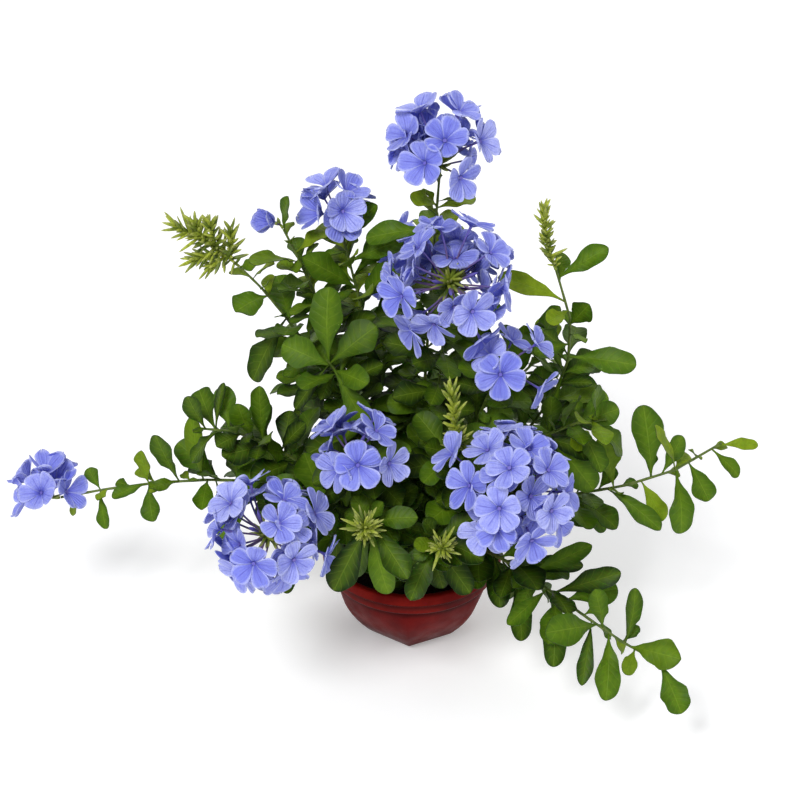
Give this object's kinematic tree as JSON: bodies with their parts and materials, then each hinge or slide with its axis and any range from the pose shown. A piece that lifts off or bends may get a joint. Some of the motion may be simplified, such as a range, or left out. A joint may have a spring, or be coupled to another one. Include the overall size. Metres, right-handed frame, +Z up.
{
  "type": "potted cape plumbago",
  "caption": "Leafy plant with rounded heads of pale blue five-petalled flowers and green bud sprays, growing in a small round plastic pot that stands on a flat six-sided foot.",
  "frame": {"origin": "centre of the pot's flat underside, on the surface that it stands on", "axes": "+Z up along the pot's axis, -Y towards the side that the plant's best flowers face, +X to the right seen from there"},
  "size_m": [0.4162, 0.2716, 0.3201],
  "materials": {
    "pot": "red-brown moulded plastic with a soft sheen",
    "soil": "dark damp crumbly potting soil",
    "leaf": "fresh mid-green leaves and thin green stems",
    "petal": "soft matt periwinkle blue petals",
    "bud": "yellow-green pointed calyces"
  },
  "bodies": {
    "root": {"pot": "pot", "soil": "soil", "stem_top": "leaf", "stem_upper_left": "leaf", "stem_ring": "leaf", "stem_lower_left": "leaf", "stem_centre": "leaf", "stem_right": "leaf", "stem_far_left": "leaf", "stem_bud_upper_left": "leaf", "stem_spike": "leaf", "stem_bud_centre": "leaf", "stem_bud_front": "leaf", "stem_bud_middle": "leaf", "stem_right_trail": "leaf", "stem_lower_right_trail": "leaf", "stem_single": "leaf", "stem_ring_side": "leaf", "stem_left_upper": "leaf", "stem_left_middle": "leaf", "stem_right_middle": "leaf", "stem_back_left": "leaf", "stem_back_right": "leaf", "stem_back": "leaf", "flowers_top": "petal", "flowers_upper_left": "petal", "flowers_ring": "petal", "flowers_single": "petal", "flowers_ring_side": "petal", "flowers_lower_left": "petal", "flowers_centre": "petal", "flowers_right": "petal", "flowers_far_left": "petal", "flowers_back": "petal", "buds_bud_upper_left": "bud", "buds_spike": "bud", "buds_bud_centre": "bud", "buds_bud_front": "bud", "buds_bud_middle": "bud"}
  },
  "joints": []
}
